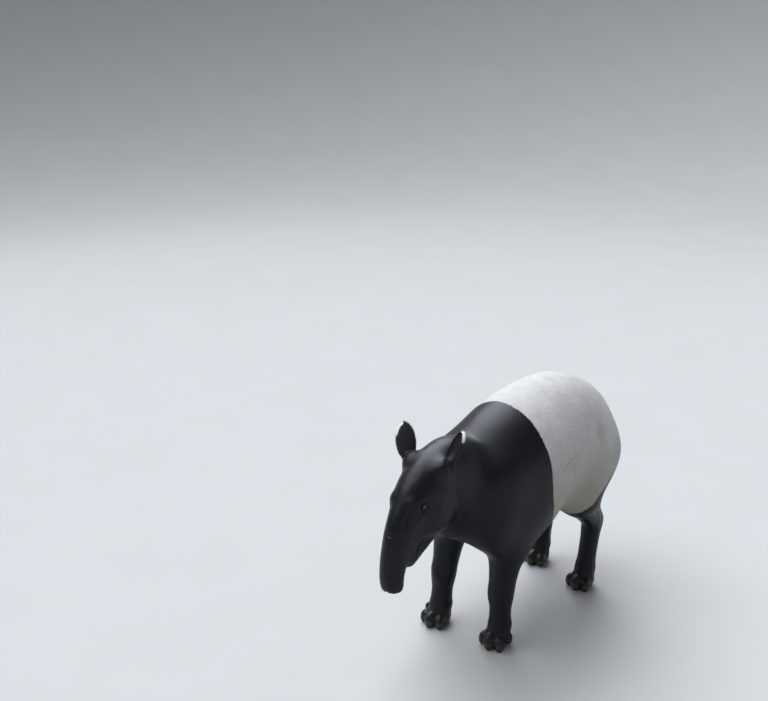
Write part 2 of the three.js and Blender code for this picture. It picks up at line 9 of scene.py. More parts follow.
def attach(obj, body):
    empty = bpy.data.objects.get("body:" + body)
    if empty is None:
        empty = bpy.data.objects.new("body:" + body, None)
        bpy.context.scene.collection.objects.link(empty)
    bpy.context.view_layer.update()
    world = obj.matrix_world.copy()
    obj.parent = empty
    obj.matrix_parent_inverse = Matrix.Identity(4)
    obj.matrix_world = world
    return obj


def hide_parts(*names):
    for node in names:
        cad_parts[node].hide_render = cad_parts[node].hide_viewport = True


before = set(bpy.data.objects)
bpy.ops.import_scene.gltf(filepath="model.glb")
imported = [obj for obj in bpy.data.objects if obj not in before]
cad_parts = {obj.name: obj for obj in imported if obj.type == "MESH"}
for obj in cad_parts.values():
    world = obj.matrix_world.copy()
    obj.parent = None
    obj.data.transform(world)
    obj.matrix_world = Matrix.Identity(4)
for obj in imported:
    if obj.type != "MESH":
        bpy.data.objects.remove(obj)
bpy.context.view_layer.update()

# Viewpoint: where the visitor stands, on the animal's left and in front of it, looking down on its back.
# A lens of medium length, a little wider than life.
viewpoint = bpy.data.objects.new("viewpoint", bpy.data.cameras.new("viewpoint"))
viewpoint.location = (2.41755, -3.22618, 2.57953)
viewpoint.rotation_euler = (math.radians(90 - 18.192), 0, math.radians(43.947))
viewpoint.data.lens = 47.44
viewpoint.data.sensor_width = 36
bpy.context.scene.collection.objects.link(viewpoint)
bpy.context.scene.camera = viewpoint

# Neck and head frames: the neck leaves the shoulders a little raised and turned to the left, and the head
# hangs from its end. A place on the body is said as forward, to its left, and up, on the head in mm.
MM = 0.001
MIDDLE = 0.160715
neck_frame = (Matrix.Translation((0, MIDDLE - 0.440, 0.786)) @ Matrix.Rotation(math.radians(10), 4, "Z")
              @ Matrix.Rotation(math.radians(-14), 4, "X"))
head_frame = (neck_frame @ Matrix.Translation((0, -0.230, 0)) @ Matrix.Rotation(math.radians(-1.5), 4, "Z")
              @ Matrix.Rotation(math.radians(48), 4, "X") @ Matrix.Rotation(math.radians(-3), 4, "Y"))


def on_head(forward, left, up):
    return head_frame @ Vector((left * MM, -forward * MM, up * MM))


def along_head(forward, left, up):
    return (head_frame.to_3x3() @ Vector((left, -forward, up))).normalized()


def seen_from(basis, places):
    """Places in a frame's own directions, as rows of across, along and up in mm."""
    turned = np.array(basis.inverted())
    return (places @ turned[:3, :3].T + turned[:3, 3]) / MM


def standing(at, across, front, up):
    """A frame at a place, from its three directions."""
    return Matrix.Translation(at) @ Matrix((across, -front, up)).transposed().to_4x4()


def ear_frame(side):
    """The ear stands on its root with +Z to its tip and its cup open towards -Y."""
    up = along_head(-0.78, 0.36, 0.6) if side > 0 else along_head(-0.75, -0.3, 0.6)
    opening = Vector((-0.53, -0.85, -0.1)) if side > 0 else Vector((-0.85, 0.5, 0))
    across = up.cross(opening).normalized()
    return standing(on_head(-40, 91, 88) if side > 0 else on_head(-34, -94, 71), across,
                    across.cross(up).normalized(), up)


def eye_frame(side):
    """The eye looks along -Y, with its corners along X and its lids along Z."""
    out = along_head(0.35, side, 0.12)
    level = along_head(1, 0, -0.16)
    lid_up = (out.cross(level) * -side).normalized()
    return standing(on_head(130, side * 61, 58), lid_up.cross(out).normalized(), out, lid_up)


nose_frame = standing(on_head(414.3, 0, -129.9), along_head(0, 1, 0), along_head(0.62, 0, -0.78),
                      along_head(0.78, 0, 0.62))

# Hide: one closed skin over the whole animal, as a mounted hide is drawn over its form. The flesh of the
# model is joined, its joints are closed and smoothed over, and the skin is drawn in by the coat's depth.
FLESH = ("head", "snout", "ear_left", "ear_right", "neck", "forequarters", "saddle", "tail",
         "leg_front_left", "leg_front_right", "leg_hind_left", "leg_hind_right")
SWELL = 2.2 * MM
COAT_DEPTH = 1.4 * MM
SKIN_CELL = 3.0 * MM
EAR_HALF_WIDTH, EAR_HALF_DEPTH, EAR_HALF_HEIGHT = 42.5, 21.5, 81.2
EAR_MIDDLE = 77.5
EYE_SOCKET = 18

# Feet stand at these places, forward and to the left, in m. Toes: how far ahead and aside of the foot in mm,
# their size, their turn outwards in degrees and how far up in mm. The fourth is on the fore feet alone.
FEET = {"front_left": (0.322, 0.147), "front_right": (0.372, -0.147),
        "hind_left": (-0.340, 0.145), "hind_right": (-0.385, -0.145)}
TOES = ((44, 0, 1.1, 0, 0), (30, 36, 0.95, 24, 0), (30, -36, 0.95, -24, 0), (-8, 52, 0.7, 55, 26))
TOE_SPAN, TOE_RISE, TOE_HEIGHT = (24, 38, 27), 11, 27


def added(name, shape, finish=None):
    """A finished bmesh as an object of the scene, at the origin."""
    mesh = bpy.data.meshes.new(name)
    shape.to_mesh(mesh)
    shape.free()
    piece = bpy.data.objects.new(name, mesh)
    bpy.context.scene.collection.objects.link(piece)
    if finish:
        mesh.materials.append(finish)
    return piece


def applied(piece):
    """Makes the piece's modifiers part of its mesh."""
    graph = bpy.context.evaluated_depsgraph_get()
    made = bpy.data.meshes.new_from_object(piece.evaluated_get(graph))
    piece.modifiers.clear()
    plain, piece.data = piece.data, made
    bpy.data.meshes.remove(plain)
    made.name = piece.name
    return piece


def modified(piece, kind, **settings):
    """Adds a modifier with its settings."""
    step = piece.modifiers.new(kind.title(), kind)
    for name, value in settings.items():
        setattr(step, name, value)
    return step


def places_of(mesh):
    places = np.empty(len(mesh.vertices) * 3)
    mesh.vertices.foreach_get("co", places)
    return places.reshape(-1, 3)


def normals_of(mesh):
    normals = np.empty(len(mesh.vertices) * 3)
    mesh.vertex_normals.foreach_get("vector", normals)
    return normals.reshape(-1, 3)


def eased(values, low, high):
    """0 below low, 1 above high, and a smooth step between."""
    t = np.clip((values - low) / (high - low), 0, 1)
    return t * t * (3 - 2 * t)


def weigh(piece, name, weights, levels=12):
    """A vertex group with weights rounded to a few levels."""
    group = piece.vertex_groups.new(name=name)
    rounded = np.rint(np.clip(weights, 0, 1) * levels).astype(int)
    for level in range(1, levels + 1):
        chosen = np.flatnonzero(rounded == level)
        if len(chosen):
            group.add(chosen.tolist(), level / levels, "REPLACE")
    return name


def scaled(across, along, up):
    """Stretches a ball of radius 1 to half sizes in mm."""
    return Matrix.Diagonal((across * MM, along * MM, up * MM, 1))


def ear_shell(side):
    """A cup: an egg-shaped blade with a hollow in its front, on a round root."""
    upright = ear_frame(side)
    blade, hollow, root = bmesh.new(), bmesh.new(), bmesh.new()
    bmesh.ops.create_uvsphere(blade, u_segments=64, v_segments=48, radius=1, matrix=upright
                              @ Matrix.Translation((0, 0, EAR_MIDDLE * MM))
                              @ scaled(EAR_HALF_WIDTH, EAR_HALF_DEPTH, EAR_HALF_HEIGHT))
    bmesh.ops.create_uvsphere(hollow, u_segments=64, v_segments=48, radius=1, matrix=upright
                              @ Matrix.Translation((0, -13 * MM, 86.8 * MM)) @ scaled(37, 27, 66))
    bmesh.ops.create_cone(root, cap_ends=True, segments=32, radius1=26 * MM, radius2=23 * MM,
                          depth=52 * MM, matrix=upright @ Matrix.Translation((0, 0, 7 * MM)))
    blade, hollow = added("ear_blade", blade), added("ear_hollow", hollow)
    modified(blade, "BOOLEAN", operation="DIFFERENCE", object=hollow, solver="EXACT")
    applied(blade)
    root.from_mesh(blade.data)
    for spent in (blade, hollow):
        bpy.data.objects.remove(spent)
    return root


flesh = bmesh.new()
for name in FLESH:
    if not name.startswith("ear"):
        flesh.from_mesh(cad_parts[name].data)
bmesh.ops.remove_doubles(flesh, verts=flesh.verts, dist=0.02 * MM)
for side in (1, -1):
    ear = ear_shell(side)
    ear_mesh = bpy.data.meshes.new("ear")
    ear.to_mesh(ear_mesh)
    ear.free()
    flesh.from_mesh(ear_mesh)
    bpy.data.meshes.remove(ear_mesh)
    bmesh.ops.create_icosphere(flesh, subdivisions=4, radius=EYE_SOCKET * MM,
                               matrix=Matrix.Translation(eye_frame(side).translation))
def toes_of(foot):
    """Each toe's size and its frame, with its root at the origin and its tip towards -Y."""
    forward, left = FEET[foot]
    for ahead, aside, size, spread, up in TOES[:4 if foot.startswith("front") else 3]:
        mirror = -1 if up and left < 0 else 1
        at = (left + mirror * aside * MM, MIDDLE - forward - ahead * MM, (TOE_HEIGHT * size + up) * MM)
        yield size, Matrix.Translation(at) @ Matrix.Rotation(math.radians(mirror * spread), 4, "Z")


for foot in FEET:
    for size, toe in toes_of(foot):
        bmesh.ops.create_uvsphere(flesh, u_segments=32, v_segments=24, radius=size * MM,
                                  matrix=toe @ Matrix.Translation((0, 0, TOE_RISE * size * MM))
                                  @ Matrix.Diagonal((*TOE_SPAN, 1)))
hide = added("hide", flesh)
modified(hide, "DISPLACE", strength=SWELL, mid_level=0)
modified(hide, "REMESH", mode="VOXEL", voxel_size=SKIN_CELL, use_smooth_shade=True)
applied(hide)


def on_ear(q):
    """How far a place in the ear's own frame belongs to the ear, from 0 to 1."""
    return eased(q[:, 2], 6, 26) * (1 - eased(np.hypot(q[:, 0], q[:, 1]), 48, 60))


def from_eyes(places):
    """The distance to the nearer eye, in mm."""
    return np.min([np.linalg.norm(seen_from(eye_frame(side), places), axis=1) for side in (1, -1)], axis=0)


def from_nose(places):
    return np.linalg.norm(seen_from(nose_frame, places), axis=1)


def regions(places):
    """How far each place belongs to the ears, head, snout, legs, feet and tail, from 0 to 1."""
    on_face = seen_from(head_frame, places)
    return {
        "ear": np.max([on_ear(seen_from(ear_frame(side), places)) for side in (1, -1)], axis=0),
        "head": eased(-on_face[:, 1], -60, 10) * (1 - eased(places[:, 1], -0.40, -0.32)),
        "snout": eased(-on_face[:, 1], 270, 330) * (places[:, 1] < -0.4),
        "leg": 1 - eased(places[:, 2], 0.40, 0.50),
        "foot": 1 - eased(places[:, 2], 0.09, 0.13),
        "tail": eased(places[:, 1], 0.765, 0.785) * (1 - eased(np.abs(places[:, 0]), 0.035, 0.05)),
    }


part = regions(places_of(hide.data))
everywhere = weigh(hide, "everywhere", 1 - 0.6 * np.maximum(part["ear"], part["foot"]))
medium = weigh(hide, "medium", (1 - part["ear"]) * (1 - part["foot"]) * (1 - part["snout"])
               * (1 - 0.6 * part["tail"]) * (1 - 0.45 * part["head"]))
heavy = weigh(hide, "heavy", (1 - np.maximum(part["head"], part["ear"])) * (1 - part["leg"])
              * (1 - part["tail"]))
drawn_in = weigh(hide, "drawn_in", 1 - 0.35 * part["foot"])
modified(hide, "SMOOTH", factor=0.5, iterations=12, vertex_group=everywhere)
modified(hide, "SMOOTH", factor=0.5, iterations=60, vertex_group=medium)
modified(hide, "SMOOTH", factor=0.5, iterations=300, vertex_group=heavy)
modified(hide, "DISPLACE", strength=-SWELL - COAT_DEPTH, mid_level=0, vertex_group=drawn_in)
applied(hide)


EVEN_TRIANGLE = 0.433


def thinned(piece, inside, edge):
    """Melts a region's triangles into fewer, with sides of about `edge`."""
    chosen = inside(places_of(piece.data))
    shape = bmesh.new()
    shape.from_mesh(piece.data)
    within, others = 0.0, 0
    for face in shape.faces:
        if all(chosen[vertex.index] for vertex in face.verts):
            within += face.calc_area()
        else:
            others += len(face.verts) - 2
    total = sum(len(face.verts) - 2 for face in shape.faces)
    shape.free()
    wanted = within / (EVEN_TRIANGLE * edge * edge)
    piece.vertex_groups.clear()
    modified(piece, "DECIMATE", decimate_type="COLLAPSE", ratio=(wanted + others) / total,
             vertex_group=weigh(piece, "thinned", chosen.astype(float), 1), vertex_group_factor=1.0)
    applied(piece)
    piece.vertex_groups.clear()


LEG_TOP, FOOT_TOP = 0.44, 0.10


def is_trunk(places):
    part = regions(places)
    return ((part["head"] + part["ear"] + part["tail"] < 0.02) & (places[:, 2] > LEG_TOP)
            & (places[:, 1] > -0.50))


def is_leg(places):
    return (places[:, 2] <= LEG_TOP) & (places[:, 2] > FOOT_TOP) & (places[:, 1] > -0.33)


def is_plain_head(places):
    part = regions(places)
    return ((places[:, 1] < -0.33) & (places[:, 2] > FOOT_TOP) & (part["ear"] < 0.02)
            & (from_eyes(places) > 36) & (from_nose(places) > 42))


thinned(hide, is_trunk, 11 * MM)
thinned(hide, is_leg, 6.5 * MM)
thinned(hide, is_plain_head, 4.9 * MM)
thinned(hide, lambda places: places[:, 2] < FOOT_TOP, 4.9 * MM)

# Face: lids round each eye, the line of the mouth under the snout, nostrils in its flat end, and the folds
# between. The skin is made finer there first, and then pressed in or raised along its own normals.
SNOUT_LINE = ((225, -2), (300, -28), (355, -60), (387, -92), (400, -112), (408, -150))
MOUTH_LINE = ((190, -78), (250, -96.5), (300, -101), (352, -100))


def beside_line(points, forward, up):
    """How far along a line in side view, and how far from it, each place is, in mm."""
    best, run, length = np.full(len(forward), 1e9), np.zeros(len(forward)), 0.0
    for (f0, u0), (f1, u1) in zip(points, points[1:]):
        span = math.hypot(f1 - f0, u1 - u0)
        t = np.clip(((forward - f0) * (f1 - f0) + (up - u0) * (u1 - u0)) / span ** 2, 0, 1)
        away = np.hypot(forward - f0 - t * (f1 - f0), up - u0 - t * (u1 - u0))
        nearer = away < best
        best[nearer], run[nearer] = away[nearer], (length + t * span)[nearer]
        length += span
    return run, best


def fold(places, points, width, height):
    """A ridge, or with a negative height a furrow, along a line of points, fading at its ends, in mm."""
    best, fade = np.full(len(places), 1e9), np.zeros(len(places))
    for k, (a, b) in enumerate(zip(points, points[1:])):
        a, b = np.array(a, float), np.array(b, float)
        t = np.clip((places - a) @ (b - a) / ((b - a) @ (b - a)), 0, 1)
        away = np.linalg.norm(places - a - t[:, None] * (b - a), axis=1)
        nearer = away < best
        best[nearer] = away[nearer]
        fade[nearer] = np.sin(math.pi * (0.08 + 0.84 * (k + t[nearer]) / (len(points) - 1)))
    return height * fade * np.exp(-(best / width) ** 2)


def finer(piece, wanted, longest):
    """Splits the edges longer than `longest` whose ends are both wanted."""
    shape = bmesh.new()
    shape.from_mesh(piece.data)
    shape.verts.ensure_lookup_table()
    near = wanted(places_of(piece.data))
    edges = [edge for edge in shape.edges if near[edge.verts[0].index] and near[edge.verts[1].index]
             and edge.calc_length() > longest]
    bmesh.ops.subdivide_edges(shape, edges=edges, cuts=1, use_grid_fill=True, smooth=0)
    bmesh.ops.triangulate(shape, faces=[face for face in shape.faces if len(face.verts) > 3])
    shape.to_mesh(piece.data)
    shape.free()


def pressed(piece, amount):
    """Moves each vertex along its normal by an amount in mm, worked out from its place."""
    spots = places_of(piece.data)
    spots += normals_of(piece.data) * (amount(spots) * MM)[:, None]
    piece.data.vertices.foreach_set("co", spots.ravel())
    piece.data.update()


def near_eyes(reach):
    """A test for the places within a reach of an eye, in mm."""
    return lambda spots: from_eyes(spots) < reach


def near_mouth(spots):
    """A test for the places beside the line of the mouth."""
    q = seen_from(head_frame, spots)
    run, away = beside_line(MOUTH_LINE, -q[:, 1], q[:, 2])
    return (away < 10) & (np.abs(q[:, 0]) < 80)


def near_nose(spots):
    return from_nose(spots) < 40


# Lids: the skin lies over the ball of the eye as a rim, and inside the almond-shaped opening it turns in
# behind it. An upper crease and a lower fold follow the rim.
EYE_RADIUS = 16


def from_slit(across, up):
    """How far a place lies outside the almond-shaped slit between the lids, in mm."""
    return np.maximum(np.hypot(across, up + 9.5) - 16.6, np.hypot(across, up - 13.0) - 19.0)


def lidded(spots, side):
    """Lays the skin round an eye over its ball, and behind it inside the slit."""
    upright = eye_frame(side)
    q = seen_from(upright, spots)
    reach = np.linalg.norm(q, axis=1)
    outside = from_slit(q[:, 0], q[:, 2])
    above = eased(q[:, 2], -3, 4)
    rim = EYE_RADIUS + 1.3 + 1.1 * np.exp(-((outside - 1.8) / 1.5) ** 2)
    rim -= above * 1.4 * np.exp(-((outside - 6.0) / 1.3) ** 2)
    rim += above * 1.6 * np.exp(-((outside - 9.5) / 2.2) ** 2)
    rim -= above * 0.7 * np.exp(-((outside - 13.5) / 1.4) ** 2)
    rim -= (1 - above) * 1.1 * np.exp(-((outside - 6.5) / 1.5) ** 2)
    rim += (1 - above) * 0.6 * np.exp(-((outside - 9.5) / 2.0) ** 2)
    blend = eased(outside, 9, 22)
    wanted = np.where(outside > 0, rim * (1 - blend) + reach * blend, np.minimum(reach, EYE_RADIUS - 3.2))
    facing = eased(-q[:, 1], 1, 6) * (reach < 48)
    scale = 1 + facing * (wanted / np.maximum(reach, 1e-6) - 1)
    moved = q * scale[:, None] * MM
    turned = np.array(upright)
    return moved @ turned[:3, :3].T + turned[:3, 3]


# Each fold: its points in mm forward, aside and up on the head, its half width and its height in mm, where a
# furrow's height is below 0. The left and right sides match.
FOLDS = (
    # the hollow along the bridge of the nose, the ridge under it, and two creases before the eye
    (((150, 62, 90), (172, 48, 104), (228, 44, 70), (290, 26, 50)), 11, -4.2),
    (((150, 80, 28), (190, 74, 36), (226, 62, 33), (270, 50, 6)), 9, 2.6),
    (((136, 84, 38), (158, 77, 45), (184, 64, 56)), 3.6, -2.0),
    (((128, 88, 22), (156, 82, 28), (186, 72, 38)), 3.2, -1.0),
    # four wrinkles over the brow
    *((((88 + 2 * k, 78 - 5 * k, 88 + 6 * k), (112, 70 - 5 * k, 95 + 6 * k),
        (140 - 2 * k, 62 - 5 * k, 97 + 5 * k)), 2.2, -0.9) for k in range(4)),
    # the lip's edge over the corner of the mouth, and the crease round the corner
    (((196, 66, -62), (214, 62, -44), (237, 56, -32)), 7, 2.4),
    (((212, 58, -92), (196, 62, -84), (186, 66, -66)), 3, -2.0),
    # the edge of the jaw, the furrow behind it, and the cheekbone
    (((24, 104, 30), (10, 104, -30), (2, 100, -90), (22, 84, -150)), 12, 3.2),
    (((-2, 108, 36), (-22, 108, -30), (-26, 104, -90), (-6, 84, -160)), 11, -5.5),
    (((60, 92, 20), (110, 92, -20), (160, 78, -40)), 22, 2.0),
)


def face_relief(spots):
    """How far each place of the face stands out or lies in, in mm: mouth, folds, brow, rings and nose."""
    q = seen_from(head_frame, spots)
    forward, left, up = -q[:, 1], q[:, 0], q[:, 2]
    half = np.stack((forward, np.abs(left), up), 1)
    line = np.interp(forward, *zip(*MOUTH_LINE))
    inside = eased(forward, 188, 205) * (1 - eased(forward, 345, 352))
    lips = 1.8 * np.exp(-((up - line - 6) / 4.5) ** 2) + 1.3 * np.exp(-((up - line + 6) / 4.5) ** 2)
    relief = inside * (lips - 4.2 * np.exp(-((up - line) / 1.7) ** 2))
    for points, width, height in FOLDS:
        relief += fold(half, points, width, height)
    relief *= spots[:, 1] < -0.35
    run, away = beside_line(SNOUT_LINE, forward, up)
    wavering = 1.3 * np.sin(left / 9 + run / 31) + 0.9 * np.sin(left / 4.3 - run / 17)
    rings = np.sin(run / 10 * 2 * math.pi + wavering)
    creased = eased(forward, 255, 310) * (1 - eased(run, 225, 240)) * (0.35 + 0.65 * eased(up + 60, -60, 60))
    relief -= creased * 0.5 * eased(rings, 0.45, 1.0)
    n = seen_from(nose_frame, spots)
    on_nose = eased(-n[:, 1], -16, -7) * (np.abs(n[:, 0]) < 60)
    rise = n[:, 2] - 8
    nostrils = np.hypot((np.abs(n[:, 0]) - 19 - 0.25 * rise) / 6.5, rise / 11)
    relief += on_nose * (1.4 * np.exp(-((nostrils - 1.35) / 0.35) ** 2)
                         - 6.0 * (1 - eased(nostrils, 0.45, 1.05)))
    parted = 0.25 + 0.75 * eased(np.abs(n[:, 2] + 4), 12, 34)
    relief -= on_nose * 3.2 * np.exp(-(n[:, 0] / 5.5) ** 2) * parted
    return relief


for reach, longest in ((34, 2.4), (28, 1.5), (23, 1.0)):
    finer(hide, near_eyes(reach), longest * MM)
finer(hide, near_mouth, 2.0 * MM)
for longest in (2.4, 1.5):
    finer(hide, near_nose, longest * MM)
for side in (1, -1):
    spots = places_of(hide.data)
    close = np.linalg.norm(seen_from(eye_frame(side), spots), axis=1) < 48
    spots[close] = lidded(spots[close], side)
    hide.data.vertices.foreach_set("co", spots.ravel())
    hide.data.update()
pressed(hide, face_relief)

# Coat: short dense hair, black but for the pale saddle, whose edges run round the trunk behind the
# shoulders and down each thigh. The ears are tipped with white hair. The colours are laid out by place, so
# that skin and hair match: hair takes the place of its root.


class Tone:
    """A value or colour in a finish. Arithmetic on tones adds Math nodes."""

    def __init__(self, tree, socket):
        self.tree, self.socket = tree, socket

    def node(self, kind, settings, inputs, output=0):
        """A new node with its settings and inputs, and the tone that it gives."""
        made = self.tree.nodes.new(kind)
        for name, value in settings.items():
            if name == "stops":
                ramp = made.color_ramp
                while len(ramp.elements) < len(value):
                    ramp.elements.new(0.5)
                for stop, (position, colour) in zip(ramp.elements, value):
                    stop.position, stop.color = position, colour
            elif name == "blend":
                made.color_ramp.interpolation = value
            else:
                setattr(made, name, value)
        for name, value in inputs.items():
            if isinstance(value, Tone):
                self.tree.links.new(value.socket, made.inputs[name])
            else:
                made.inputs[name].default_value = value
        return Tone(self.tree, made.outputs[output])

    def maths(self, operation, *values):
        return self.node("ShaderNodeMath", {"operation": operation}, dict(enumerate(values)))

    def __add__(self, other):
        return self.maths("ADD", self, other)

    def __sub__(self, other):
        return self.maths("SUBTRACT", self, other)

    def __rsub__(self, other):
        return self.maths("SUBTRACT", other, self)

    def __mul__(self, other):
        return self.maths("MULTIPLY", self, other)

    __radd__, __rmul__ = __add__, __mul__


def new_finish(name, rooted=False):
    """A finish with its surface shader, and the place that its patterns are made from."""
    finish = bpy.data.materials.new(name)
    finish.use_nodes = True
    tree = finish.node_tree
    source = tree.nodes.new("ShaderNodeAttribute" if rooted else "ShaderNodeTexCoord")
    if rooted:
        source.attribute_name = "root"
    place = Tone(tree, source.outputs["Vector" if rooted else "Object"])
    return finish, tree.nodes["Principled BSDF"], place


def ramped(value, low, high, smooth=True):
    """0 below low and 1 above high."""
    return value.node("ShaderNodeMapRange", {"interpolation_type": "SMOOTHSTEP" if smooth else "LINEAR"},
                      {"Value": value, "From Min": low, "From Max": high})


def grain(place, scale, detail=2.0, rough=0.5, stretch=(1, 1, 1)):
    """Noise from 0 to 1, stretched along an axis where its stretch is small."""
    place = place.node("ShaderNodeMapping", {}, {"Vector": place, "Scale": stretch})
    return place.node("ShaderNodeTexNoise", {},
                      {"Vector": place, "Scale": scale, "Detail": detail, "Roughness": rough})


def component(place, origin, direction):
    """How far a place lies from an origin along a direction."""
    from_origin = place.node("ShaderNodeVectorMath", {"operation": "SUBTRACT"}, {0: place, 1: tuple(origin)})
    return place.node("ShaderNodeVectorMath", {"operation": "DOT_PRODUCT"},
                      {0: from_origin, 1: tuple(direction)}, "Value")


def distance(place, point):
    return place.node("ShaderNodeVectorMath", {"operation": "DISTANCE"}, {0: place, 1: tuple(point)}, "Value")


def mixed(mask, first, second):
    """The first colour where the mask is 0, the second where it is 1."""
    return mask.node("ShaderNodeMix", {"data_type": "RGBA"}, {0: mask, 6: first, 7: second}, 2)


def linked(surface, **inputs):
    """Sets the surface shader's sockets, by a value or by a link."""
    for name, value in inputs.items():
        name = name.replace("_", " ")
        if isinstance(value, Tone):
            value.tree.links.new(value.socket, surface.inputs[name])
        else:
            surface.inputs[name].default_value = value


SADDLE_FRONT = MIDDLE - 0.122
HIND_EDGE = ((-0.02, 0.18), (0.03, 0.20), (0.08, 0.36), (0.12, 0.42), (0.17, 0.47), (0.23, 0.52),
             (0.31, 0.58), (0.40, 0.63), (0.50, 0.668), (0.60, 0.69), (0.76, 0.70))
SCRATCHES = (((0.256, 0.095, 0.772), (0.251, 0.235, 0.808), 0.0028),
             ((0.262, 0.150, 0.742), (0.256, 0.215, 0.775), 0.0018))
SMUDGE = (0.229, 0.430, 0.835)
BLACK, BLACK_WARM, BLACK_TIP = (.0032, .0033, .0038, 1), (.0054, .0050, .0049, 1), (.0082, .0080, .0088, 1)
# The ears' lighter bluish grey is a painted sheen.
DUST, EAR_PAINTED_SHEEN, NOSE = (0.050, 0.042, 0.034, 1), (0.022, 0.021, 0.025, 1), (0.022, 0.019, 0.019, 1)
# The saddle's top colour is painted light; its low colour is brown dirt with painted shade.
PALE_LIT_TOP, PALE_LOW_DIRT_AND_SHADE, EAR_WHITE = (0.520, 0.510, 0.500, 1), (0.300, 0.268, 0.215, 1), (0.80, 0.79, 0.74, 1)
PALE_CLOUD, PALE_ROOT = (0.340, 0.325, 0.305, 1), (0.21, 0.20, 0.19, 1)
SPECK, SCRATCH, STAIN = (0.085, 0.080, 0.076, 1), (0.090, 0.082, 0.074, 1), (0.215, 0.175, 0.130, 1)
SPECKS = ((95, 0.16, 0.70), (48, 0.11, 0.65))
WHITE_WAY = {1: (0.30, 0.954), -1: (0.62, 0.78)}


def saddle_mask(place, back, height, across):
    """1 on the pale saddle, 0 on the black coat, with a fine ragged edge."""
    wander = grain(place, 9, 2) - 0.5
    fringe_back = grain(place, 1, 3, 0.6, (230, 30, 230)) - 0.5
    fringe_down = grain(place, 1, 3, 0.6, (230, 80, 30)) - 0.5
    bent = ramped(height, 0.68, 0.50) * 0.020
    front = ramped(back - SADDLE_FRONT + (height - 0.7) * 0.056 - bent + wander * 0.012 + fringe_back * 0.012,
                   -0.0022, 0.0022)
    start, end = MIDDLE + HIND_EDGE[0][0], MIDDLE + HIND_EDGE[-1][0]
    t = ramped(back, start, end, smooth=False)
    edge_height = t.node("ShaderNodeValToRGB", {"blend": "CARDINAL", "stops": [
        ((y + MIDDLE - start) / (end - start), (z, z, z, 1)) for y, z in HIND_EDGE]}, {"Fac": t})
    hind = ramped(height - edge_height + wander * 0.020 + fringe_down * 0.016, -0.0025, 0.0025)
    tail = (ramped(across.maths("ABSOLUTE", across), 0.036, 0.030)
            * ramped(back + (height - 0.70) * 0.35 + ramped(height, 0.70, 0.66) * 0.030, 0.748, 0.756))
    return front * hind * (1 - tail)


def white_tips(place):
    """1 where the hair of the ears' edges is white."""
    found = []
    for side in (1, -1):
        upright = ear_frame(side)
        turned = np.array(upright.to_3x3())
        width = component(place, upright.translation, turned[:, 0]) * (1 / (EAR_HALF_WIDTH * MM))
        rise = component(place, upright.translation, turned[:, 2]) - EAR_MIDDLE * MM
        rise = rise * (1 / (EAR_HALF_HEIGHT * MM))
        outline = (width * width + rise * rise).maths("SQRT", width * width + rise * rise)
        way = width * WHITE_WAY[side][0] + rise * WHITE_WAY[side][1]
        ragged = (grain(place, 260, 2) - 0.5) * 0.10
        found.append(ramped(outline + ragged, 0.84, 0.90) * ramped(way + ragged, 0.74, 0.84)
                     * ramped(distance(place, upright.translation), 0.20, 0.19))
    return found[0].maths("MAXIMUM", *found)


def marked(place, cloud, pale_coat):
    """The pale coat with its dark specks, its scratches and a stain."""
    for scale, size, depth in SPECKS:
        spots = place.node("ShaderNodeTexVoronoi", {"feature": "F1"},
                           {"Vector": place, "Scale": scale, "Randomness": 1}, "Distance")
        some = ramped(grain(place, scale * 0.45, 1), 0.50, 0.66)
        pale_coat = mixed(ramped(spots, size + 0.05, size - 0.04) * some * depth, pale_coat, SPECK)
    for start, end, width in SCRATCHES:
        start, end = Vector(start), Vector(end)
        span, way = end - start, (end - start).normalized()
        along = component(place, start, way)
        spot = place.node("ShaderNodeVectorMath", {"operation": "SUBTRACT"}, {0: place, 1: tuple(start)})
        near = ramped(distance(spot, tuple(span * 0.5)), span.length * 0.55, 0.0)
        aside = component(place, start, way.cross((1, 0, 0)).normalized()) + (cloud - 0.5) * 0.030
        line = ramped(aside.maths("ABSOLUTE", aside), width, width * 0.3) * near
        pale_coat = mixed(line * ramped(along, -0.02, 0.02) * 0.75, pale_coat, SCRATCH)
    smudge = ramped(distance(place, SMUDGE) + (cloud - 0.5) * 0.06, 0.060, 0.010)
    return mixed(smudge * 0.30, pale_coat, STAIN)


